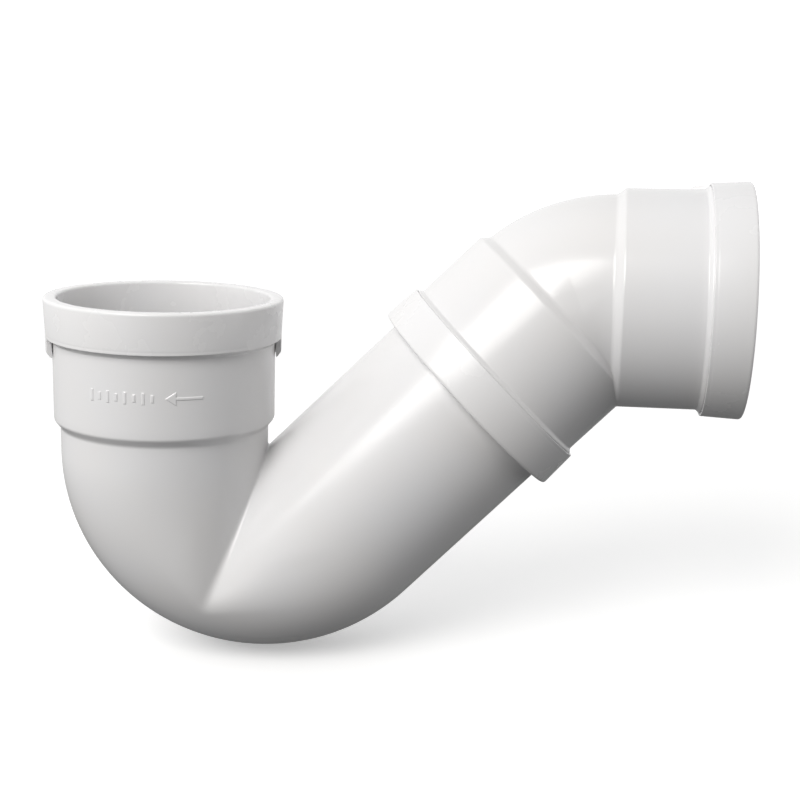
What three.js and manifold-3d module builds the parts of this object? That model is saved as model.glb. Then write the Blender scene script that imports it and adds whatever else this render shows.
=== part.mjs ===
/**
 * P trap for a 110 mm drain: a J-shaped bend that hangs below a pipe, and a 45 degree elbow
 * pushed over its rising end. All three sockets are ring-seal sockets: a flared mouth holds a
 * rubber lip seal, and a clip-on cap keeps the seal in.
 *
 * Millimetres, +Z up. The origin is the centre of the inlet mouth. +X runs towards the outlet.
 * Every socket is drawn in its own mouth frame: origin at the centre of the mouth, +Z into the
 * fitting. Outlines are lists of [radius, depth below the mouth].
 */
import * as THREE from 'three';
import { mergeVertices } from 'three/addons/utils/BufferGeometryUtils.js';
import Module from 'manifold-3d';

// ---- Driving dimensions (millimetres and degrees) -------------------------------------------
const PIPE_R = 55; // outside radius of the 110 mm pipe that the sockets take
const WALL = 3.2;
const CLEARANCE = 0.3; // gap between pieces that touch

const TRAP_ANGLE = 135; // turn of the J bend
const TRAP_BEND_R = 55; // centre line radius of the J bend
const TRAP_BEND_DEPTH = 82; // inlet mouth to the start of the J bend
const RISING_LEG = 96.5; // end of the J bend to the mouth of the joint

const ELBOW_ANGLE = 45;
const ELBOW_BEND_R = 50;
const ELBOW_BEND_DEPTH = 60; // joint mouth to the start of the elbow's bend
const OUTLET_LEG = 68.3; // end of the elbow's bend to the outlet mouth
const SWIVEL = 18.5; // how far the elbow is turned about the rising leg, outlet to the front

const SOCKET_R = 58.3; // outside of a socket
const SOCKET_BORE_R = 55.35;
const SHOULDER_START = 64.5; // the outside steps down to the pipe between these depths
const SHOULDER_END = 68.5;
const STOP_DEPTH = 66; // where a pushed-in pipe ends
const JOINT_STOP_DEPTH = 59.5;
const SPIGOT_DEPTH = 56; // how far the J bend's plain end reaches into the elbow
const SPIGOT_TAPER = 7; // lead-in on the plain end
const SPIGOT_TIP_R = 53.4;
const HEEL_EASE = 0.15; // the heel's round edge stands this far outside the legs' round

const FLARE_R = 59.9; // flared end of a socket, under its cap
const FLARE_END = 21.6;
const RING_SEAT_R = 58.2;
const RING_SEAT_END = 22;

const CAP_R = 62.6; // cap at the mouth
const CAP_LOW_R = 61.6; // cap at the end of its skirt
const CAP_SKIRT = 21;
const CAP_WEB = 5; // thickness of the cap's end wall
const CAP_MOUTH_R = 55.7;
const CAP_SLEEVE_END = 18.2;
const CAP_EDGE = 0.5; // small edge chamfers
const LUG_START = 28.3; // a lug below the skirt tapers between these depths
const LUG_END = 31;
const LUG_WIDTH = 25;
const INLET_CAP_TURN = 7.5; // degrees a cap is turned about its mouth, in whole facets
const OUTLET_CAP_TURN = 15;

const RELAXED_LIP_R = 53.8; // seal lip with no pipe in the socket
const PRESSED_LIP_R = 55.3; // seal lip pushed out by the plain end

const SEGMENTS = 48; // sides of every round surface
const BIG = 400; // longer than any piece
const FINEST = 0.002; // corners closer than this are made one after cutting

// ---- Sizes that follow ----------------------------------------------------------------------
const BORE_R = PIPE_R - WALL;
const CHAMFER_45 = FLARE_R - SOCKET_R;
const SHOULDER_RUN = 1; // the shoulder's cone runs on this far inside the pipe wall
const SHOULDER_SLOPE = (SHOULDER_END - SHOULDER_START) / (SOCKET_R - PIPE_R);
const RING_R = RING_SEAT_R - CLEARANCE;
const FACET_TURN = Math.PI / (2 * SEGMENTS); // keeps crossing facets off each other's corners
const RING_START = CAP_SLEEVE_END + CLEARANCE;
const RING_END = RING_SEAT_END - CLEARANCE;
const SKIRT_BORE_R = FLARE_R + CLEARANCE;
const LUG_BORE_R = SOCKET_R + 2 * CLEARANCE;

const wasm = await Module();
wasm.setup();

// ---- Solids -----------------------------------------------------------------------------------
/** A manifold solid from a closed geometry, moved by a matrix once its seams are merged. */
function toSolid(geometry, matrix = new THREE.Matrix4()) {
  const bare = geometry.clone();
  bare.deleteAttribute('normal');
  bare.deleteAttribute('uv');
  const merged = mergeVertices(bare, 1e-4).applyMatrix4(matrix);
  const vertProperties = new Float32Array(merged.attributes.position.array);
  const triVerts = new Uint32Array(merged.index.array);
  return new wasm.Manifold(new wasm.Mesh({ numProp: 3, vertProperties, triVerts }));
}

/** A solid's surface, with corners closer than FINEST made one and the slivers dropped. */
function toGeometry(solid) {
  const { vertProperties, triVerts } = solid.getMesh();
  const rough = new THREE.BufferGeometry();
  rough.setAttribute('position', new THREE.BufferAttribute(vertProperties, 3));
  rough.setIndex(new THREE.BufferAttribute(triVerts, 1));
  const geometry = mergeVertices(rough, FINEST);
  const corners = geometry.index.array;
  const kept = [];
  for (let i = 0; i < corners.length; i += 3) {
    const [a, b, c] = corners.slice(i, i + 3);
    if (a !== b && b !== c && c !== a) {
      kept.push(a, b, c);
    }
  }
  geometry.setIndex(kept);
  geometry.computeVertexNormals();
  return geometry;
}

/** A solid turned about Z. The outline starts and ends on the axis, or closes on itself. */
function turned(outline) {
  const points = outline.map(([radius, depth]) => new THREE.Vector2(radius, depth));
  const geometry = new THREE.LatheGeometry(points, SEGMENTS);
  geometry.rotateX(Math.PI / 2);
  return geometry;
}

// ---- Frames along a bend ------------------------------------------------------------------------
/** The frame at a distance past the end of a bend. +Z runs on, +X points to the inside. */
function frameAfterBend(bendDepth, bendRadius, degrees, distance) {
  const angle = THREE.MathUtils.degToRad(degrees);
  const matrix = new THREE.Matrix4().makeRotationY(angle);
  const x = bendRadius * (1 - Math.cos(angle)) + distance * Math.sin(angle);
  const z = bendDepth + bendRadius * Math.sin(angle) + distance * Math.cos(angle);
  return matrix.setPosition(x, 0, z);
}

/** The same frame turned to look back, as a socket mouth at that end does. */
function mouthAfterBend(bendDepth, bendRadius, degrees, distance) {
  const frame = frameAfterBend(bendDepth, bendRadius, degrees, distance);
  return frame.multiply(new THREE.Matrix4().makeRotationY(Math.PI));
}

/**
 * A round bar of two straight legs and the bend between them. The throat is a sharp mitre, where
 * the legs run straight into each other, and the heel is rounded as a torus: the two crossed
 * cylinders are kept only inside a disc with a round edge, turned about the bend's own axis.
 */
function bentBar(radius, bendRadius, degrees, bendDepth, firstDepth, after) {
  const angle = THREE.MathUtils.degToRad(degrees);
  const before = bendDepth - firstDepth;
  const reach = (bendRadius + radius) * Math.min(Math.tan(angle / 2), 1);
  const start = new THREE.Matrix4().makeTranslation(0, 0, bendDepth);
  const end = frameAfterBend(bendDepth, bendRadius, degrees, 0);

  const bar = (length, turn) => {
    const cylinder = new THREE.CylinderGeometry(radius, radius, length + reach, SEGMENTS);
    cylinder.rotateX(Math.PI / 2).rotateZ(turn);
    return cylinder;
  };
  const wide = 2 * (radius + 1);
  const sleeve = (length) => new THREE.BoxGeometry(wide, wide, length + 1);

  const firstBar = toSolid(bar(before, FACET_TURN).translate(0, 0, (reach - before) / 2), start);
  const firstSleeve = toSolid(sleeve(before).translate(0, 0, -(before + 1) / 2), start);
  const lastBar = toSolid(bar(after, -FACET_TURN).translate(0, 0, (after - reach) / 2), end);
  const lastSleeve = toSolid(sleeve(after).translate(0, 0, (after + 1) / 2), end);

  const rimR = radius + HEEL_EASE;
  const rim = [];
  for (let step = 0; step <= SEGMENTS / 2; step += 1) {
    const turn = (step / SEGMENTS) * 2 * Math.PI;
    rim.push([bendRadius + rimR * Math.sin(turn), -rimR * Math.cos(turn)]);
  }
  const flat = radius + 2;
  const outline = [[0, -flat], [bendRadius, -flat], ...rim, [bendRadius, flat], [0, flat]];
  const points = outline.map(([x, y]) => new THREE.Vector2(x, y));
  const disc = new THREE.LatheGeometry(points, SEGMENTS).translate(bendRadius, 0, 0);

  const keep = toSolid(disc, start).add(firstSleeve).add(lastSleeve);
  return firstBar.add(lastBar).intersect(keep);
}

// ---- One socket and its fittings ----------------------------------------------------------------
const socketBody = turned([
  [0, CAP_WEB + CLEARANCE],
  [FLARE_R, CAP_WEB + CLEARANCE],
  [FLARE_R, FLARE_END],
  [SOCKET_R, FLARE_END + CHAMFER_45],
  [SOCKET_R, SHOULDER_START],
  [PIPE_R - SHOULDER_RUN, SHOULDER_END + SHOULDER_RUN * SHOULDER_SLOPE],
  [0, SHOULDER_END + SHOULDER_RUN * SHOULDER_SLOPE],
]);

function socketHollow(stopDepth) {
  return turned([
    [0, 0],
    [RING_SEAT_R, 0],
    [RING_SEAT_R, RING_SEAT_END],
    [SOCKET_BORE_R, RING_SEAT_END],
    [SOCKET_BORE_R, stopDepth],
    [0, stopDepth],
  ]);
}

/** The cap is a ring of U section. Its outer skirt ends plain, or runs on as a lug. */
function capRing(skirtEnd) {
  return turned([
    [CAP_MOUTH_R, CAP_SLEEVE_END],
    [CAP_MOUTH_R, CAP_EDGE],
    [CAP_MOUTH_R + CAP_EDGE, 0],
    [CAP_R - CAP_EDGE, 0],
    [CAP_R, CAP_EDGE],
    ...skirtEnd,
    [SKIRT_BORE_R, CAP_WEB],
    [RING_SEAT_R - CLEARANCE, CAP_WEB],
    [RING_SEAT_R - CLEARANCE, CAP_SLEEVE_END],
    [CAP_MOUTH_R, CAP_SLEEVE_END],
  ]);
}

const plainSkirt = [
  [CAP_LOW_R, CAP_SKIRT - CAP_EDGE],
  [CAP_LOW_R - CAP_EDGE, CAP_SKIRT],
  [SKIRT_BORE_R, CAP_SKIRT],
];

const lugSkirt = [
  [CAP_LOW_R, CAP_SKIRT - CAP_EDGE],
  [CAP_LOW_R, LUG_START],
  [LUG_BORE_R + CAP_EDGE, LUG_END],
  [LUG_BORE_R, LUG_END],
  [LUG_BORE_R, FLARE_END + CHAMFER_45],
  [SKIRT_BORE_R, FLARE_END],
];

/** A cap with no lug, with one on its +X side, or with one on each side. */
function sealCap(lugCount) {
  if (lugCount === 0) {
    return capRing(plainSkirt);
  }
  const start = lugCount === 1 ? BIG / 2 : 0;
  const band = toSolid(new THREE.BoxGeometry(BIG, LUG_WIDTH, BIG).translate(start, 0, 0));
  const lugs = toSolid(capRing(lugSkirt)).intersect(band);
  return toGeometry(toSolid(capRing(plainSkirt)).add(lugs));
}

/** The seal: a square rubber back in the seat, and a lip that leans in and down. */
function sealRing(lipRadius) {
  const root = lipRadius + (RING_R - lipRadius) * 0.45;
  return turned([
    [RING_R, RING_START],
    [RING_R, RING_END],
    [root, RING_END],
    [lipRadius, RING_END - 0.7],
    [lipRadius, RING_END - 1.5],
    [root, RING_START + 1.2],
    [root, RING_START],
    [RING_R, RING_START],
  ]);
}

// ---- The two mouldings --------------------------------------------------------------------------
function trapBend() {
  const spigot = RISING_LEG + SPIGOT_DEPTH;
  const path = [TRAP_BEND_R, TRAP_ANGLE, TRAP_BEND_DEPTH];
  const slope = (PIPE_R - SPIGOT_TIP_R) / SPIGOT_TAPER;
  const taper = turned([
    [PIPE_R + 1, -SPIGOT_TAPER - 1 / slope],
    [PIPE_R + 3, -SPIGOT_TAPER - 1 / slope],
    [PIPE_R + 3, 1],
    [SPIGOT_TIP_R - slope, 1],
    [PIPE_R + 1, -SPIGOT_TAPER - 1 / slope],
  ]);
  const spigotEnd = frameAfterBend(TRAP_BEND_DEPTH, TRAP_BEND_R, TRAP_ANGLE, spigot);
  const outside = bentBar(PIPE_R, ...path, SHOULDER_START - 10, spigot)
    .add(toSolid(socketBody))
    .subtract(toSolid(taper, spigotEnd));
  const inside = bentBar(BORE_R, ...path, STOP_DEPTH - 10, spigot + 10)
    .add(toSolid(socketHollow(STOP_DEPTH)));
  return toGeometry(outside.subtract(inside));
}

function outletElbow() {
  const path = [ELBOW_BEND_R, ELBOW_ANGLE, ELBOW_BEND_DEPTH];
  const outlet = mouthAfterBend(ELBOW_BEND_DEPTH, ELBOW_BEND_R, ELBOW_ANGLE, OUTLET_LEG);
  const barLength = OUTLET_LEG - SHOULDER_START + 10;
  const outside = bentBar(PIPE_R, ...path, ELBOW_BEND_DEPTH - 10, barLength)
    .add(toSolid(socketBody))
    .add(toSolid(socketBody, outlet));
  const inside = bentBar(BORE_R, ...path, JOINT_STOP_DEPTH - 10, OUTLET_LEG - STOP_DEPTH + 10)
    .add(toSolid(socketHollow(JOINT_STOP_DEPTH)))
    .add(toSolid(socketHollow(STOP_DEPTH), outlet));
  return toGeometry(outside.subtract(inside));
}

// ---- Materials and meshes -----------------------------------------------------------------------
const WHITE = 0xf1f1f2;
const CAP_WHITE = 0xf4f4f5;
const RUBBER = 0x1b1b1c;

function piece(name, geometry, color, roughness) {
  const material = new THREE.MeshStandardMaterial({ color, roughness, metalness: 0 });
  const mesh = new THREE.Mesh(geometry, material);
  mesh.name = name;
  return mesh;
}

/** The cap and the seal of one socket, placed in that socket's mouth frame. */
function mouthPieces(name, lipRadius, lugCount, capTurn) {
  const cap = piece(`${name}_seal_cap`, sealCap(lugCount), CAP_WHITE, 0.25);
  cap.rotation.z = THREE.MathUtils.degToRad(capTurn);
  return [cap, piece(`${name}_seal_ring`, sealRing(lipRadius), RUBBER, 0.7)];
}

// ---- Assembly -------------------------------------------------------------------------------------
const inletFrame = new THREE.Group();
inletFrame.rotation.x = Math.PI;
inletFrame.add(piece('trap_bend', trapBend(), WHITE, 0.25));
inletFrame.add(...mouthPieces('inlet', RELAXED_LIP_R, 2, -INLET_CAP_TURN));

const jointFrame = new THREE.Group();
frameAfterBend(TRAP_BEND_DEPTH, TRAP_BEND_R, TRAP_ANGLE, RISING_LEG)
  .multiply(new THREE.Matrix4().makeRotationZ(Math.PI - THREE.MathUtils.degToRad(SWIVEL)))
  .decompose(jointFrame.position, jointFrame.quaternion, jointFrame.scale);
jointFrame.add(piece('outlet_elbow', outletElbow(), WHITE, 0.25));
jointFrame.add(...mouthPieces('joint', PRESSED_LIP_R, 0, 0));
inletFrame.add(jointFrame);

const outletFrame = new THREE.Group();
mouthAfterBend(ELBOW_BEND_DEPTH, ELBOW_BEND_R, ELBOW_ANGLE, OUTLET_LEG)
  .decompose(outletFrame.position, outletFrame.quaternion, outletFrame.scale);
outletFrame.add(...mouthPieces('outlet', RELAXED_LIP_R, 1, OUTLET_CAP_TURN));
jointFrame.add(outletFrame);

const pTrap = new THREE.Group();
pTrap.add(inletFrame);

export default pTrap;
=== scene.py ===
# %% [markdown]
# # A P trap for a 110 mm drain
#
# Two white PVC mouldings make this trap: a J bend, and a 45 degree elbow pushed over its rising
# end. Each of the three sockets has a cap at its mouth that keeps a rubber lip seal in. The solid
# model already has the sizes and the joints. This lesson makes the surfaces that are seen, as
# functions worked out on grids, and then the plastic, the light and the camera.

# %% Load the solid model
import math
import bpy
import numpy as np
from mathutils import Matrix, Vector


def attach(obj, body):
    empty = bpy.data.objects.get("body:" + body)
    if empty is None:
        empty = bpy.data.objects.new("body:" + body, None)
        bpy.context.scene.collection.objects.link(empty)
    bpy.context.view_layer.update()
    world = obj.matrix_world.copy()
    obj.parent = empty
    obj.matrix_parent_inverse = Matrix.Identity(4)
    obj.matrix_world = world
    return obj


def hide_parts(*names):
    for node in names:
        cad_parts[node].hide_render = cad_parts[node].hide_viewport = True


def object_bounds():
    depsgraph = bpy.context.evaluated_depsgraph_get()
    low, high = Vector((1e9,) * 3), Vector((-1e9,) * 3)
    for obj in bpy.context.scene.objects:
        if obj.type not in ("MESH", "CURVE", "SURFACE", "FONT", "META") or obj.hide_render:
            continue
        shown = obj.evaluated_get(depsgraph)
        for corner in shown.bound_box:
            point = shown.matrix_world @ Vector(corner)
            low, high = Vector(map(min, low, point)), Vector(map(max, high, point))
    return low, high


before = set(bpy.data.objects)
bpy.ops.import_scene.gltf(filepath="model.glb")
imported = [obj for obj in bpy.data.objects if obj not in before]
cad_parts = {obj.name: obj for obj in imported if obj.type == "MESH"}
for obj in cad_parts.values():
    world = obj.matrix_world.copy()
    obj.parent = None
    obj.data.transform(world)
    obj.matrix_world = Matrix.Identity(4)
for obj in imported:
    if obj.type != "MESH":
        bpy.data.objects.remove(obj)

CAD_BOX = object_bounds()

# %% [markdown]
# ## Sizes
#
# All shapes are drawn in millimetres, in the frame of one socket's mouth: the origin is the centre
# of the mouth, +Z points into the fitting, and +X to the inside of the bend. A mesh is turned into
# metres, and into the object's own frame, only when it is made.

# %% Driving sizes
MM = 0.001
PIPE_R = 55.0
BORE_R = 51.8
SOCKET_R = 58.3
SOCKET_BORE_R = 55.35
FLARE_R = 59.9
FLARE_END = 21.6
SEAT_R = 58.2
SEAT_END = 22.0
SHOULDER_START = 64.5
SHOULDER_END = 68.5
STOP_DEPTH = 66.0
JOINT_STOP_DEPTH = 59.5
MOUTH_DEPTH = 5.3  # where the moulding ends, under its cap

TRAP = {"depth": 82.0, "radius": 55.0, "angle": math.radians(135)}
RISING_LEG = 96.5
SPIGOT_END = RISING_LEG + 56.0
SPIGOT_TIP_R = 53.4
SPIGOT_TAPER = 7.0
ELBOW = {"depth": 60.0, "radius": 50.0, "angle": math.radians(45)}
OUTLET_LEG = 68.3
SWIVEL = math.radians(18.5)
COLUMNS = 240  # points round every ring
print("spigot reaches", SPIGOT_END, "mm past the bend")

# %% Frames of the three mouths
def turn(axis, angle):
    """A 4x4 turn about one axis, as an array."""
    return np.array(Matrix.Rotation(angle, 4, axis))


def past_bend(bend, distance):
    """The frame at a distance past a bend's end: the start frame turned by the bend's angle."""
    angle, radius = bend["angle"], bend["radius"]
    at = turn("Y", angle)
    at[0, 3] = radius * (1 - math.cos(angle)) + distance * math.sin(angle)
    at[2, 3] = bend["depth"] + radius * math.sin(angle) + distance * math.cos(angle)
    return at


INLET = np.diag([1.0, -1.0, -1.0, 1.0])
JOINT = INLET @ past_bend(TRAP, RISING_LEG) @ turn("Z", math.pi - SWIVEL)
OUTLET = JOINT @ past_bend(ELBOW, OUTLET_LEG) @ turn("Y", math.pi)
for name, mouth in (("inlet", INLET), ("joint", JOINT), ("outlet", OUTLET)):
    print(name, "mouth at", np.round(mouth[:3, 3], 1), "mm")

# %% [markdown]
# ## White plastic
#
# The mouldings are glossy white PVC. What makes it look real is small: a faint orange peel that
# ripples the reflections, a roughness that drifts over the surface, and a colour that is a touch
# warmer in some places. Both plastics share these, so they are one node group.

# %% A node group for moulded plastic
def new_group(name, inputs, outputs):
    group = bpy.data.node_groups.new(name, "ShaderNodeTree")
    for label, kind, value in inputs:
        socket = group.interface.new_socket(label, in_out="INPUT", socket_type=kind)
        if value is not None:
            socket.default_value = value
    for label, kind in outputs:
        group.interface.new_socket(label, in_out="OUTPUT", socket_type=kind)
    start, end = group.nodes.new("NodeGroupInput"), group.nodes.new("NodeGroupOutput")
    return group, start, end


def noise(group, vector, scale, detail):
    node = group.nodes.new("ShaderNodeTexNoise")
    node.inputs["Scale"].default_value = scale
    node.inputs["Detail"].default_value = detail
    group.links.new(vector, node.inputs["Vector"])
    return node.outputs["Fac"]


def remap(group, value, low, high):
    """Stretch a value of 0.3 to 0.7, where noise mostly lies, to low and high."""
    node = group.nodes.new("ShaderNodeMapRange")
    node.inputs["From Min"].default_value = 0.3
    node.inputs["From Max"].default_value = 0.7
    group.links.new(value, node.inputs["Value"])
    for socket, limit in (("To Min", low), ("To Max", high)):
        if isinstance(limit, float):
            node.inputs[socket].default_value = limit
        else:
            group.links.new(limit, node.inputs[socket])
    return node.outputs["Result"]


def moulded_plastic():
    group, start, end = new_group(
        "moulded_plastic",
        [("Vector", "NodeSocketVector", None), ("Colour", "NodeSocketColor", (0.8, 0.8, 0.8, 1)),
         ("Tint", "NodeSocketColor", (0.8, 0.78, 0.74, 1)), ("Smooth", "NodeSocketFloat", 0.15),
         ("Dull", "NodeSocketFloat", 0.25), ("Ripple", "NodeSocketFloat", 0.05)],
        [("Colour", "NodeSocketColor"), ("Roughness", "NodeSocketFloat"),
         ("Normal", "NodeSocketVector")])
    vector = start.outputs["Vector"]
    link = group.links.new
    mix = group.nodes.new("ShaderNodeMix")
    mix.data_type = "RGBA"
    link(remap(group, noise(group, vector, 14.0, 3.0), 0.0, 0.35), mix.inputs["Factor"])
    link(start.outputs["Colour"], mix.inputs["A"])
    link(start.outputs["Tint"], mix.inputs["B"])
    link(mix.outputs["Result"], end.inputs["Colour"])
    rough = remap(group, noise(group, vector, 45.0, 4.0), start.outputs["Smooth"],
                  start.outputs["Dull"])
    link(rough, end.inputs["Roughness"])
    bump = group.nodes.new("ShaderNodeBump")
    bump.inputs["Distance"].default_value = 0.0006
    link(start.outputs["Ripple"], bump.inputs["Strength"])
    link(noise(group, vector, 90.0, 2.0), bump.inputs["Height"])
    link(bump.outputs["Normal"], end.inputs["Normal"])
    return group


PLASTIC = moulded_plastic()
print("group:", PLASTIC.name, [s.name for s in PLASTIC.interface.items_tree])

# %% The two plastics and the rubber
def surface(name, group, values, **constants):
    """A material of one group that feeds one Principled shader, on Object coordinates."""
    material = bpy.data.materials.new(name)
    material.use_nodes = True
    tree = material.node_tree
    shader = tree.nodes["Principled BSDF"]
    place = tree.nodes.new("ShaderNodeTexCoord")
    effect = tree.nodes.new("ShaderNodeGroup")
    effect.node_tree = group
    tree.links.new(place.outputs["Object"], effect.inputs["Vector"])
    for label, value in values.items():
        effect.inputs[label].default_value = value
    tree.links.new(effect.outputs["Colour"], shader.inputs["Base Color"])
    tree.links.new(effect.outputs["Roughness"], shader.inputs["Roughness"])
    tree.links.new(effect.outputs["Normal"], shader.inputs["Normal"])
    for label, value in constants.items():
        shader.inputs[label.replace("_", " ")].default_value = value
    return material


BODY_WHITE = surface(
    "white_pvc_body", PLASTIC,
    {"Colour": (0.78, 0.78, 0.79, 1), "Tint": (0.78, 0.755, 0.725, 1), "Smooth": 0.2,
     "Dull": 0.25, "Ripple": 0.05}, IOR=1.53)
CAP_WHITE = surface(
    "white_pvc_cap", PLASTIC,
    {"Colour": (0.80, 0.80, 0.81, 1), "Tint": (0.80, 0.78, 0.755, 1), "Smooth": 0.24,
     "Dull": 0.29, "Ripple": 0.04}, IOR=1.53)
RUBBER = surface(
    "seal_rubber", PLASTIC,
    {"Colour": (0.018, 0.018, 0.019, 1), "Tint": (0.03, 0.029, 0.028, 1), "Smooth": 0.55,
     "Dull": 0.7, "Ripple": 0.3}, IOR=1.5)
print("materials:", [m.name for m in (BODY_WHITE, CAP_WHITE, RUBBER)])

# %% [markdown]
# ## From a grid of points to a mesh
#
# Every piece is a closed skin: a ring of points carried round a loop, so that both directions of
# the grid close on themselves like a tyre. The outside runs from the mouth to the far end, and the
# inside runs back, which gives the wall its real thickness without a Solidify modifier.


def closed_grid(name, points, place, body, material, nodes):
    """A mesh from an array (rows, columns, 3) whose rows and columns both close on themselves."""
    rows, columns = points.shape[:2]
    flat = points.reshape(-1, 3) @ place[:3, :3].T + place[:3, 3]
    row, column = np.meshgrid(np.arange(rows), np.arange(columns), indexing="ij")
    next_row, next_column = (row + 1) % rows, (column + 1) % columns
    quads = np.stack([row * columns + column, row * columns + next_column,
                      next_row * columns + next_column, next_row * columns + column], -1)
    quads = quads.reshape(-1, 4)
    a, b, c, d = (flat[quads[:, i]] for i in range(4))
    volume = np.einsum("ij,ij->i", a, np.cross(b, c) + np.cross(c, d)).sum()
    quads = quads if volume > 0 else quads[:, ::-1]
    mesh = bpy.data.meshes.new(name)
    mesh.from_pydata(flat * MM, [], quads)
    mesh.polygons.foreach_set("use_smooth", np.ones(len(quads), dtype=bool))
    mesh.set_sharp_from_angle(angle=math.radians(38))
    piece = bpy.data.objects.new(name, mesh)
    bpy.context.scene.collection.objects.link(piece)
    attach(piece, body)
    mesh.materials.append(material)
    if nodes:
        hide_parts(*nodes)
    print(f"{name}: {2 * len(quads)} triangles, {abs(volume) / 6000:.0f} cm3")
    return piece


# %% [markdown]
# ## The bend as a field
#
# A drawn pipe bend is a torus, but these mouldings aren't. Their throat is where two straight
# cylinders cross, with hardly a fillet, and only the heel is round. So the shape is written as a
# field, a number that is below zero inside the plastic: the smaller of the distances to two
# cylinders joins them, and the larger of that and a disc with a round rim cuts the heel round. A
# smooth minimum leaves a small fillet, as a mould does.

# %% Smooth minimum and maximum
def smooth_min(a, b, width):
    """The smaller of two fields, blended by a parabola where they differ by less than width."""
    overlap = np.maximum(width - np.abs(a - b), 0.0)
    return np.minimum(a, b) - overlap**2 / (4 * width)


def smooth_max(a, b, width):
    return -smooth_min(-a, -b, width)


def smooth_step(x):
    x = np.clip(x, 0.0, 1.0)
    return x * x * (3 - 2 * x)


# %% The field of a bent round bar
def leg_two(bend, x, z):
    """Where a point is in the second leg's own terms: towards the inside, and past the bend."""
    angle, radius = bend["angle"], bend["radius"]
    dx = x - radius * (1 - math.cos(angle))
    dz = z - bend["depth"] - radius * math.sin(angle)
    return (dx * math.cos(angle) - dz * math.sin(angle),
            dx * math.sin(angle) + dz * math.cos(angle))


HEEL_ROUND = 4.0  # softest edge between a cylinder and the rim
CREASE = 2.0  # fillet where the two cylinders cross


def bar_field(bend, radius, crease, x, y, z):
    """Two crossed cylinders, cut by a disc whose rim is round and which turns about the bend's
    own axis. The edge between cylinder and rim is softest in the middle of the bend."""
    past = z - bend["depth"]
    inward, past_end = leg_two(bend, x, z)
    legs = smooth_min(np.hypot(x, y) - radius, np.hypot(inward, y) - radius, crease)
    bend_r = bend["radius"]
    from_axis = np.where(past <= 0, bend_r - x,
                         np.where(past_end >= 0, bend_r - inward, np.hypot(bend_r - x, past)))
    rim = np.hypot(np.maximum(from_axis - bend_r, 0), y) - radius
    angle = np.arctan2(past, bend_r - x)
    middle = np.minimum(angle, bend["angle"] - angle) / math.radians(45)
    soft = np.where((past > 0) & (past_end < 0), HEEL_ROUND * smooth_step(middle), 0.0)
    return smooth_max(legs, rim, soft + 1e-3)


# %% The field of a socket's outside
SHOULDER_SLOPE = (SHOULDER_END - SHOULDER_START) / (SOCKET_R - PIPE_R)
EDGE_ROUND = 0.4
SHOULDER_ROUND = 0.75
FILLET = 0.9  # inside corner where a sleeve meets the pipe


def sleeve_field(x, y, depth):
    """A sleeve round the leg: flared at the mouth, then straight, then a cone down to the pipe."""
    chamfer = smooth_min(FLARE_R, FLARE_R + FLARE_END - depth, EDGE_ROUND)
    flare = smooth_max(SOCKET_R, chamfer, EDGE_ROUND)
    cone = SOCKET_R - (depth - SHOULDER_START) / SHOULDER_SLOPE
    return np.hypot(x, y) - smooth_min(flare, cone, SHOULDER_ROUND)


def trap_outside(x, y, z):
    inward, past_end = leg_two(TRAP, x, z)
    body = smooth_min(bar_field(TRAP, PIPE_R, 1.1 * CREASE, x, y, z), sleeve_field(x, y, z), FILLET)
    slope = (PIPE_R - SPIGOT_TIP_R) / SPIGOT_TAPER
    taper = np.hypot(inward, y) - SPIGOT_TIP_R - slope * (SPIGOT_END - past_end)
    return np.where(past_end > SPIGOT_END - 2 * SPIGOT_TAPER, smooth_max(body, taper, 0.2), body)


def trap_inside(x, y, z):
    seat = np.maximum(np.hypot(x, y) - SEAT_R, z - SEAT_END)
    bore = np.maximum(np.hypot(x, y) - SOCKET_BORE_R, z - STOP_DEPTH)
    return np.minimum(np.minimum(seat, bore), bar_field(TRAP, BORE_R, CREASE, x, y, z))


def elbow_outside(x, y, z):
    inward, past_end = leg_two(ELBOW, x, z)
    body = bar_field(ELBOW, PIPE_R, CREASE, x, y, z)
    body = smooth_min(body, sleeve_field(x, y, z), FILLET)
    return smooth_min(body, sleeve_field(inward, y, OUTLET_LEG - past_end), FILLET)


def elbow_inside(x, y, z):
    inward, past_end = leg_two(ELBOW, x, z)
    left = OUTLET_LEG - past_end
    body = bar_field(ELBOW, BORE_R, CREASE, x, y, z)
    for off_axis, depth, stop in ((x, z, JOINT_STOP_DEPTH), (inward, left, STOP_DEPTH)):
        seat = np.maximum(np.hypot(off_axis, y) - SEAT_R, depth - SEAT_END)
        bore = np.maximum(np.hypot(off_axis, y) - SOCKET_BORE_R, depth - stop)
        body = np.minimum(body, np.minimum(seat, bore))
    return body


# %% [markdown]
# ## Rings that fan round the throat
#
# A field has no grid of its own, so rings of rays are sent out from the pipe's middle, and each
# ray looks for the place where the field crosses zero by halving its length again and again. On
# the straight legs the rings are square to the pipe. Round the bend they turn like the pages of
# a book about a spine that lies just outside the throat, so they never cross each other.

# %% Find the skin along the rays
HALVINGS = 26
LONGEST_RAY = 90.0
SQUEEZE_RUN = 12.0  # the last stretch of the first leg, whose rows are squeezed to meet the fan


def ray_lengths(field, centre, ray, reach):
    """The length at which each ray leaves the shape, by halving between zero and reach."""
    low, high = np.zeros_like(reach), reach.copy()
    for _ in range(HALVINGS):
        middle = (low + high) / 2
        inside = field(*np.moveaxis(centre + ray * middle[..., None], -1, 0)) < 0
        low, high = np.where(inside, middle, low), np.where(inside, high, middle)
    return (low + high) / 2


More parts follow.
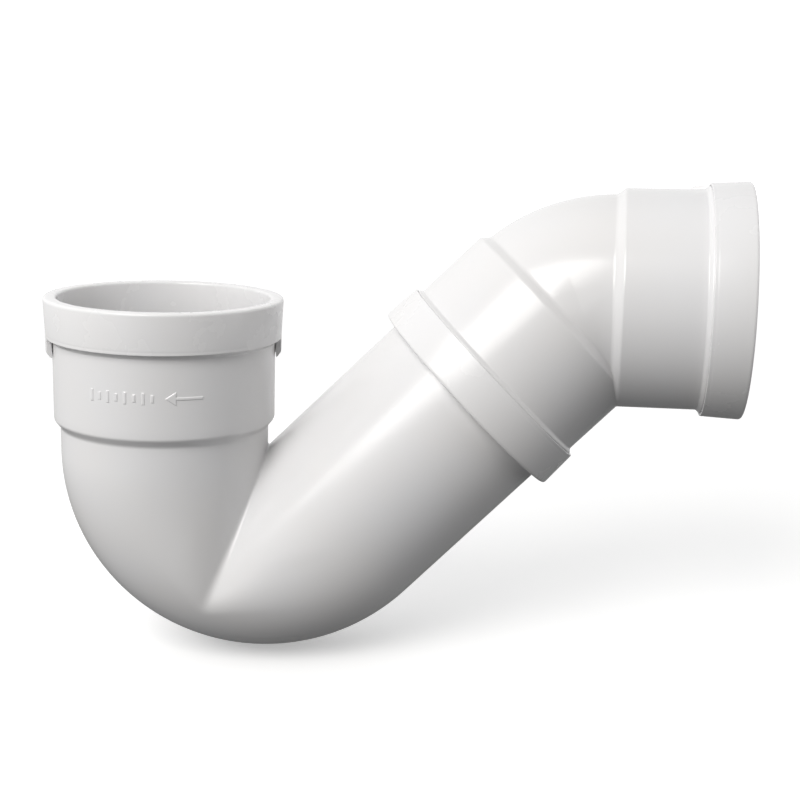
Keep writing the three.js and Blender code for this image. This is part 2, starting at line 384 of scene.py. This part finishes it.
# %% Where the fan's spine lies
def fan_spine(bend, around, clear, longest):
    """The spine for every direction round the pipe: how far it lies inward, and where the fan
    starts and ends along the two legs. It sits on the mitre plane, a little outside the skin, but
    no later than the longest straight run that is allowed on the first leg."""
    tangent = math.tan(bend["angle"] / 2)
    outward = clear * np.cos(around) + 4.0
    start = np.minimum(longest, (bend["radius"] - outward) * tangent)
    end = np.maximum(0.8, -(bend["radius"] - outward) * tangent)
    angle = bend["angle"]
    inward = bend["radius"] + (end - start * math.cos(angle)) / math.sin(angle)
    return inward, start, end


def skin(bend, field, first_rows, last_rows, turns, spine):
    """Rings along the first leg, round the fan and along the second leg: (rows, columns, 3)."""
    around = np.arange(COLUMNS) * 2 * math.pi / COLUMNS
    side = np.stack([np.cos(around), np.sin(around)])
    inward, start, end = spine(around)
    angle, depth = bend["angle"], bend["depth"]

    def ring(centre_x, centre_z, tilt, reach):
        centre = np.stack([centre_x, np.zeros_like(centre_x), centre_z], -1)
        ray = np.stack([side[0] * math.cos(tilt), side[1], -side[0] * math.sin(tilt)], -1)
        return centre + ray * ray_lengths(field, centre, ray, reach)[:, None]

    reach = np.minimum(LONGEST_RAY, (np.abs(inward) - 0.5) / np.maximum(side[0], 1e-3))
    rows = []
    squeeze_from = depth - SQUEEZE_RUN
    for row in first_rows:
        share = max(0.0, (row - squeeze_from) / (first_rows[-1] - squeeze_from))
        squeezed = squeeze_from + share * (depth + start - squeeze_from)
        z = np.where(row <= squeeze_from, row, squeezed)
        rows.append(ring(np.zeros(COLUMNS), z, 0.0, reach))

    far_in = ((inward - bend["radius"]) * math.cos(angle) - start * math.sin(angle)
              + bend["radius"])
    for turned in turns[1:-1]:
        tilt = turned * angle
        length = inward + (far_in - inward) * turned
        centre_x = inward - length * math.cos(tilt)
        centre_z = depth + start + length * math.sin(tilt)
        rows.append(ring(centre_x, centre_z, tilt,
                         np.minimum(LONGEST_RAY, (length - 0.5) / np.maximum(side[0], 1e-3))))

    x0 = bend["radius"] * (1 - math.cos(angle))
    z0 = depth + bend["radius"] * math.sin(angle)
    settled = SQUEEZE_RUN + 4.0 * end.max()  # from this far on, a row lies at its own distance
    for row in last_rows:
        past = row + end * max(0.0, 1.0 - row / settled)
        rows.append(ring(x0 + past * math.sin(angle), z0 + past * math.cos(angle), angle, reach))
    return np.stack(rows)


print("rays and fans are ready")

# %% [markdown]
# ## The J bend
#
# The trap's lower moulding. Rows of the grid are packed close where the profile turns a corner,
# at the socket's shoulder and the plain end's taper, and are far apart on the straight walls.

# %% Rows along the J bend
def runs(*stretches):
    """Row positions from stretches of (from, to, steps); the last position closes the list."""
    parts = [np.linspace(a, b, steps, endpoint=False) for a, b, steps in stretches]
    return np.append(np.concatenate(parts), stretches[-1][1])


SPINE_CLEAR = 5.0  # the spine lies this far beyond the bend's own axis
TRAP_FAN = -SPINE_CLEAR * math.tan(TRAP["angle"] / 2)  # the fan's start, past the bend's start


def trap_spine(around):
    flat = np.ones_like(around)
    return flat * (TRAP["radius"] + SPINE_CLEAR), flat * TRAP_FAN, flat * -TRAP_FAN


trap_turns = np.linspace(0, 1, 151)
first_rows = runs((MOUTH_DEPTH, 21, 4), (21, 23.8, 8), (23.8, 63.6, 10),
                  (63.6, TRAP["depth"] + TRAP_FAN, 18))
last_rows = runs((0, 130, 26), (130, 144, 5), (144, SPIGOT_END, 10))
outer = skin(TRAP, trap_outside, first_rows, last_rows, trap_turns, trap_spine)
inner_first = runs((MOUTH_DEPTH, 21.95, 3), (21.95, 22.05, 1), (22.05, 65.95, 8),
                   (65.95, 66.05, 1), (66.05, TRAP["depth"] + TRAP_FAN, 2))
inner_last = runs((0, SPIGOT_END, 26))
inner = skin(TRAP, trap_inside, inner_first, inner_last, trap_turns[::2], trap_spine)
print("outer rows:", len(outer), "inner rows:", len(inner))

# %% Make the J bend
closed_grid("trap_bend_moulding", np.concatenate([outer, inner[::-1]]),
            INLET, "trap", BODY_WHITE, ["trap_bend"])

# %% [markdown]
# ## The elbow
#
# The same fan, but the joint's sleeve runs on past the bend's start everywhere except at the
# throat, so the spine lies further along on the heel side than on the throat side.

# %% Make the elbow
def elbow_spine(around):
    return fan_spine(ELBOW, around, SOCKET_R, 9.0)


def elbow_inner_spine(around):
    return fan_spine(ELBOW, around, SOCKET_BORE_R, 9.0)


elbow_turns = np.linspace(0, 1, 91)
elbow_end = OUTLET_LEG - MOUTH_DEPTH
first_rows = runs((MOUTH_DEPTH, 21, 4), (21, 23.8, 8), (23.8, 48, 8), (48, 63, 8), (63, 69, 22))
flare_from, flare_to = OUTLET_LEG - 23.8, OUTLET_LEG - 21.0
last_rows = runs((0, 6, 22), (6, flare_from, 12), (flare_from, flare_to, 8),
                 (flare_to, elbow_end, 4))
outer = skin(ELBOW, elbow_outside, first_rows, last_rows, elbow_turns, elbow_spine)
inner_first = runs((MOUTH_DEPTH, 21.95, 3), (21.95, 22.05, 1), (22.05, 48, 5), (48, 57, 3),
                   (57, 69, 32))
seat = OUTLET_LEG - SEAT_END
inner_last = runs((0, 6, 22), (6, seat - 0.05, 8), (seat - 0.05, seat + 0.05, 1),
                  (seat + 0.05, elbow_end, 3))
inner = skin(ELBOW, elbow_inside, inner_first, inner_last, elbow_turns[::2], elbow_inner_spine)
closed_grid("outlet_elbow_moulding", np.concatenate([outer, inner[::-1]]),
            JOINT, "elbow", BODY_WHITE, ["outlet_elbow"])

# %% [markdown]
# ## Seal caps
#
# Each cap is a ring of U section over the socket's flared mouth. Its skirt has a slight draft,
# and every edge has a small round, which is what draws the bright line round the real cap. The
# inlet's cap has two lugs that run on below the skirt, and the outlet's has one.

# %% Profile of a cap
CAP_R = 62.6
CAP_LOW_R = 61.6
CAP_WEB = 5.0
CAP_MOUTH_R = 55.7
CAP_SLEEVE_END = 18.2
CAP_SKIRT = 21.0
LUG_START = 28.3
LUG_END = 31.0
LUG_WIDTH = 25.0
LUG_HALF_ANGLE = math.asin(LUG_WIDTH / 2 / CAP_LOW_R)
LUG_SIDE = 0.012  # half the turn, in radians, in which a lug's side is drawn
LUG_RISE = 0.011  # the turn in which it rises


def rounded(corners, radius, steps=5):
    """A closed outline with each corner replaced by an arc that touches both its sides: the arc
    is drawn as a parabola through the two touching points, with the corner as its control."""
    corners = np.asarray(corners, float)
    before = np.roll(corners, 1, 0) - corners
    after = np.roll(corners, -1, 0) - corners
    length_before = np.linalg.norm(before, axis=1)[:, None]
    length_after = np.linalg.norm(after, axis=1)[:, None]
    cut = np.minimum(radius[:, None], 0.45 * np.minimum(length_before, length_after))
    first = corners + before / length_before * cut
    last = corners + after / length_after * cut
    t = np.linspace(0, 1, steps)[:, None, None]
    curve = (1 - t) ** 2 * first + 2 * t * (1 - t) * corners + t**2 * last
    return curve.transpose(1, 0, 2).reshape(-1, 2)


def cap_outline(lug):
    """Radius and depth round the U section. At lug 1 the skirt's end runs on as the lug. The two
    outlines have the same corners in the same order, so one blends into the other."""
    mouth = [(CAP_MOUTH_R, CAP_SLEEVE_END), (CAP_MOUTH_R, 0), (CAP_R, 0), (61.7, 18.6)]
    hollow = [(60.2, CAP_WEB), (57.9, CAP_WEB), (57.9, CAP_SLEEVE_END)]
    plain = [(CAP_LOW_R, 19.4), (CAP_LOW_R, CAP_SKIRT), (60.9, CAP_SKIRT),
             (60.2, CAP_SKIRT), (60.2, CAP_SKIRT - 0.5)]
    long = [(CAP_LOW_R, LUG_START), (59.9, LUG_END - 0.3), (59.4, LUG_END),
            (58.9, LUG_END), (58.9, 23.3)]
    corners = np.array(mouth + plain + hollow) * (1 - lug) + np.array(mouth + long + hollow) * lug
    radius = np.array([0.5, 1.6, 1.7, 0.1, 0.1, 1.2, 0.1, 0.3, 0.1, 0.2, 0.2, 0.5])
    return rounded(corners, radius)


# %% Make the three caps
def cap_points(lugs):
    """The outline carried round the mouth, with a lug at each of the given turns."""
    spread = np.linspace(0, 2 * math.pi, COLUMNS, endpoint=False)
    edge = np.linspace(-LUG_SIDE, LUG_SIDE, 7)
    sides = [centre + sign * LUG_HALF_ANGLE + edge for centre in lugs for sign in (-1, 1)]
    around = np.unique(np.round(np.concatenate([spread, *sides]) % (2 * math.pi), 6))
    lug = np.zeros_like(around)
    for centre in lugs:
        off_lug = np.abs((around - centre + math.pi) % (2 * math.pi) - math.pi)
        lug += smooth_step((LUG_HALF_ANGLE - off_lug) / LUG_RISE + 0.5)
    plain, long = cap_outline(0.0), cap_outline(1.0)
    outline = plain[:, None] * (1 - lug[None, :, None]) + long[:, None] * lug[None, :, None]
    x, y = outline[..., 0] * np.cos(around), outline[..., 0] * np.sin(around)
    return np.stack([x, y, outline[..., 1]], -1)


INLET_LUG = math.radians(-7.5)  # where the lugs are, turned from the plane of the bend
OUTLET_LUG = math.radians(15)
for name, place, body, lugs in (("inlet", INLET, "trap", [INLET_LUG, INLET_LUG + math.pi]),
                                ("joint", JOINT, "elbow", []),
                                ("outlet", OUTLET, "elbow", [OUTLET_LUG])):
    closed_grid(f"{name}_cap", cap_points(lugs), place, body, CAP_WHITE, [f"{name}_seal_cap"])

# %% [markdown]
# ## Seals
#
# A rubber ring with a square back, held in the seat under the cap, and a lip that leans in.

# %% Make the three seals
SEAL_START = 18.5
SEAL_END = 21.7
SEAL_R = 57.9


def seal_points(lip):
    """A square back, a waist and a lip that leans in and down, carried round the mouth."""
    root = lip + (SEAL_R - lip) * 0.45
    corners = [(SEAL_R, SEAL_START), (SEAL_R, SEAL_END), (root, SEAL_END), (lip, SEAL_END - 0.5),
               (lip, SEAL_END - 1.7), (root, SEAL_START + 1.2), (root, SEAL_START)]
    outline = rounded(corners, np.full(len(corners), 0.4))
    around = np.arange(180) * math.pi / 90
    x = outline[:, :1] * np.cos(around)
    y = outline[:, :1] * np.sin(around)
    return np.stack([x, y, np.broadcast_to(outline[:, 1:], x.shape)], -1)


FREE_LIP = 53.8
SPREAD_LIP = 55.3  # pushed out by the rising leg's plain end
for name, place, body, lip in (("inlet", INLET, "trap", FREE_LIP),
                               ("joint", JOINT, "joint_seal", SPREAD_LIP),
                               ("outlet", OUTLET, "elbow", FREE_LIP)):
    closed_grid(f"{name}_seal", seal_points(lip), place, body, RUBBER, [f"{name}_seal_ring"])

# %% [markdown]
# ## The moulded mark
#
# The real socket has a line of raised lettering. Here it is a plain flow arrow and a row of bars,
# which say nothing. The mark is a height on a thin sheet that hugs the socket. It rises a third
# of a millimetre where a field of simple flat shapes is below zero.

# %% Shapes of the mark
MARK_DEPTH = 43.0
MARK_LENGTH = 66.0
MARK_HEIGHT = 9.0
MARK_TURN = math.radians(93.7)


def box_shape(u, v, centre, half_u, half_v):
    return np.maximum(np.abs(u - centre) - half_u, np.abs(v) - half_v)


def mark_field(u, v):
    """Below zero in an arrow's shaft and head, and in nine bars, of two heights, beside it."""
    shaft = box_shape(u, v, -22.0, 7.0, 0.7)
    head = np.maximum(-15.5 - u, np.abs(v) * 1.6 + (u + 10.0)) / 1.9
    field = np.minimum(shaft, head)
    bar = np.round((u - 10.0) / 4.6)
    bar = np.clip(bar, -3, 4)
    tall = np.where(bar % 2 == 0, 3.0, 1.9)
    return np.minimum(field, box_shape(u - bar * 4.6, v, 10.0, 0.75, tall))


# %% Make the mark
MARK_RISE = 0.33
MARK_SUNK = 0.04  # the sheet's plain parts lie this far under the socket's surface


u, v = np.meshgrid(np.linspace(-MARK_LENGTH / 2, MARK_LENGTH / 2, 330),
                   np.linspace(-MARK_HEIGHT / 2, MARK_HEIGHT / 2, 52), indexing="ij")
height = (MARK_RISE + MARK_SUNK) * smooth_step(0.5 - mark_field(u, v) / 0.5) - MARK_SUNK
edge = np.maximum(np.abs(u) - MARK_LENGTH / 2 + 0.3, np.abs(v) - MARK_HEIGHT / 2 + 0.3)
height = np.where(edge > -1e-6, -0.6, height)


def on_socket(u, v, height):
    """A flat drawing rolled onto the socket: u runs round it, v runs along it."""
    angle = MARK_TURN + u / SOCKET_R
    radius = SOCKET_R + height
    return np.stack([radius * np.cos(angle), radius * np.sin(angle), MARK_DEPTH + v], -1)


front = on_socket(u, v, height)
back = on_socket(u, v, np.full_like(u, -1.2))
mark_loop = np.concatenate([front, back[:, ::-1]], 1)
print("mark grid:", mark_loop.shape)
closed_grid("flow_mark", mark_loop, INLET, "trap", BODY_WHITE, [])

# %% [markdown]
# ## Floor, light and camera
#
# The trap stands on a plain pale floor that curves up into a wall far away. The wall has no
# corner, so no line shows behind the trap. A sky that is dark below puts the underside in shade,
# and a darker patch at its front right shapes the round pipes. A large soft box high at the front
# left gives the bright band along the rising leg, and a weak one at the right lifts that edge.

# %% A floor that curves up into a wall
SIDES = 96


def bowl(flat, bend, top, low):
    """Rings about the middle, in metres: a flat disc, a quarter of a round, and a wall."""
    curve = np.linspace(0, math.pi / 2, 13)
    radius = np.concatenate([[flat * 0.1, flat * 0.5], flat + bend * np.sin(curve), [flat + bend]])
    height = np.concatenate([[0, 0], bend * (1 - np.cos(curve)), [top]]) + low
    around = np.arange(SIDES) * 2 * math.pi / SIDES
    points = np.stack([radius[:, None] * np.cos(around), radius[:, None] * np.sin(around),
                       np.broadcast_to(height[:, None], (len(height), SIDES))], -1)
    row, column = np.meshgrid(np.arange(len(radius) - 1), np.arange(SIDES), indexing="ij")
    here, beside = row * SIDES + column, row * SIDES + (column + 1) % SIDES
    quads = np.stack([here, here + SIDES, beside + SIDES, beside], -1).reshape(-1, 4)
    return points.reshape(-1, 3), [*quads.tolist(), list(range(SIDES))]


floor_mesh = bpy.data.meshes.new("floor")
points, faces = bowl(5.0, 2.0, 9.0, CAD_BOX[0][2] - 0.0005)
floor_mesh.from_pydata(points, [], faces)
floor_mesh.polygons.foreach_set("use_smooth", np.ones(len(faces), dtype=bool))
floor = bpy.data.objects.new("floor", floor_mesh)
bpy.context.scene.collection.objects.link(floor)

# %% The floor glows a little, more so far away, and gives the trap no light or shade
floor_material = bpy.data.materials.new("pale_floor")
floor_material.use_nodes = True
floor_shader = floor_material.node_tree.nodes["Principled BSDF"]
floor_shader.inputs["Base Color"].default_value = (0.9, 0.9, 0.9, 1)
floor_shader.inputs["Roughness"].default_value = 0.9
floor_shader.inputs["Specular IOR Level"].default_value = 0.1
floor_shader.inputs["Emission Color"].default_value = (1, 1, 1, 1)
floor_nodes = floor_material.node_tree
floor_place = floor_nodes.nodes.new("ShaderNodeTexCoord")
distance = floor_nodes.nodes.new("ShaderNodeVectorMath")
distance.operation = "LENGTH"
glow = floor_nodes.nodes.new("ShaderNodeMapRange")
for label, value in (("From Min", 0.5), ("From Max", 4.0), ("To Min", 0.3), ("To Max", 0.75)):
    glow.inputs[label].default_value = value
floor_nodes.links.new(floor_place.outputs["Object"], distance.inputs[0])
floor_nodes.links.new(distance.outputs["Value"], glow.inputs["Value"])
floor_nodes.links.new(glow.outputs["Result"], floor_shader.inputs["Emission Strength"])
floor_mesh.materials.append(floor_material)
floor.visible_diffuse = False
floor.visible_glossy = False
floor.visible_shadow = False
print("floor:", len(faces), "faces")

# %% World light, bright above and dark below
world = bpy.data.worlds.new("studio")
bpy.context.scene.world = world
world.use_nodes = True
sky = world.node_tree
background = sky.nodes["Background"]
place = sky.nodes.new("ShaderNodeTexCoord")


def sky_node(kind, **settings):
    node = sky.nodes.new(kind)
    for label, value in settings.items():
        setattr(node, label, value)
    return node


def facing(direction, low, high, at_low, at_high):
    """A value that goes from at_low to at_high as the view turns towards a direction."""
    dot = sky_node("ShaderNodeVectorMath", operation="DOT_PRODUCT")
    dot.inputs[1].default_value = Vector(direction).normalized()
    sky.links.new(place.outputs["Generated"], dot.inputs[0])
    step = sky_node("ShaderNodeMapRange", interpolation_type="SMOOTHSTEP")
    for label, value in zip(("From Min", "From Max", "To Min", "To Max"),
                            (low, high, at_low, at_high)):
        step.inputs[label].default_value = value
    sky.links.new(dot.outputs["Value"], step.inputs["Value"])
    return step.outputs["Result"]


def times(a, b):
    product = sky_node("ShaderNodeMath", operation="MULTIPLY")
    sky.links.new(a, product.inputs[0])
    sky.links.new(b, product.inputs[1])
    return product.outputs["Value"]


UP_AND_DOWN = facing((0, 0, 1), -0.5, 0.0, 0.13, 1.0)
ZENITH = facing((0, 0, 1), 0.25, 1.0, 1.0, 0.55)
DARK_FRONT = facing((0.5, -0.85, 0.1), 0.3, 0.95, 1.0, 0.12)
sky.links.new(times(times(UP_AND_DOWN, ZENITH), DARK_FRONT), background.inputs["Strength"])
background.inputs["Color"].default_value = (1, 1, 1, 1)
print("world:", [node.bl_idname for node in sky.nodes])


# %% Soft boxes
def soft_box(name, position, target, size, watts, colour=(1, 1, 1)):
    """An area light at a position, turned to face a target, both in metres."""
    data = bpy.data.lights.new(name, "AREA")
    data.shape = "RECTANGLE"
    data.size, data.size_y = size
    data.energy = watts
    data.color = colour
    lamp = bpy.data.objects.new(name, data)
    bpy.context.scene.collection.objects.link(lamp)
    lamp.location = position
    lamp.rotation_euler = (Vector(target) - Vector(position)).to_track_quat("-Z", "Y").to_euler()
    return lamp


MIDDLE = (0.14, 0.0, -0.05)
soft_box("key_box", (-0.5, -0.9, 0.8), MIDDLE, (0.8, 0.8), 13.0, (1, 0.985, 0.965))
soft_box("right_box", (1.4, -0.3, 0.2), MIDDLE, (0.9, 0.9), 2.5)

# %% Camera
camera_data = bpy.data.cameras.new("camera")
camera_data.sensor_width = 36.0
camera_data.lens = 57.589
camera_data.clip_end = 100.0
camera = bpy.data.objects.new("camera", camera_data)
bpy.context.scene.collection.objects.link(camera)
RIGHT = Vector((0.99730355, -0.06592691, 0.03223783))
UP = Vector((-0.01691402, 0.22096894, 0.97513417))
BACK = RIGHT.cross(UP)
axes = Matrix((RIGHT, UP, BACK)).transposed().to_4x4()
camera.matrix_world = Matrix.Translation((0.07649, -0.6782, 0.09842)) @ axes
bpy.context.scene.camera = camera
bpy.context.scene.view_settings.view_transform = "Standard"
print("camera", tuple(round(v, 3) for v in camera.location))
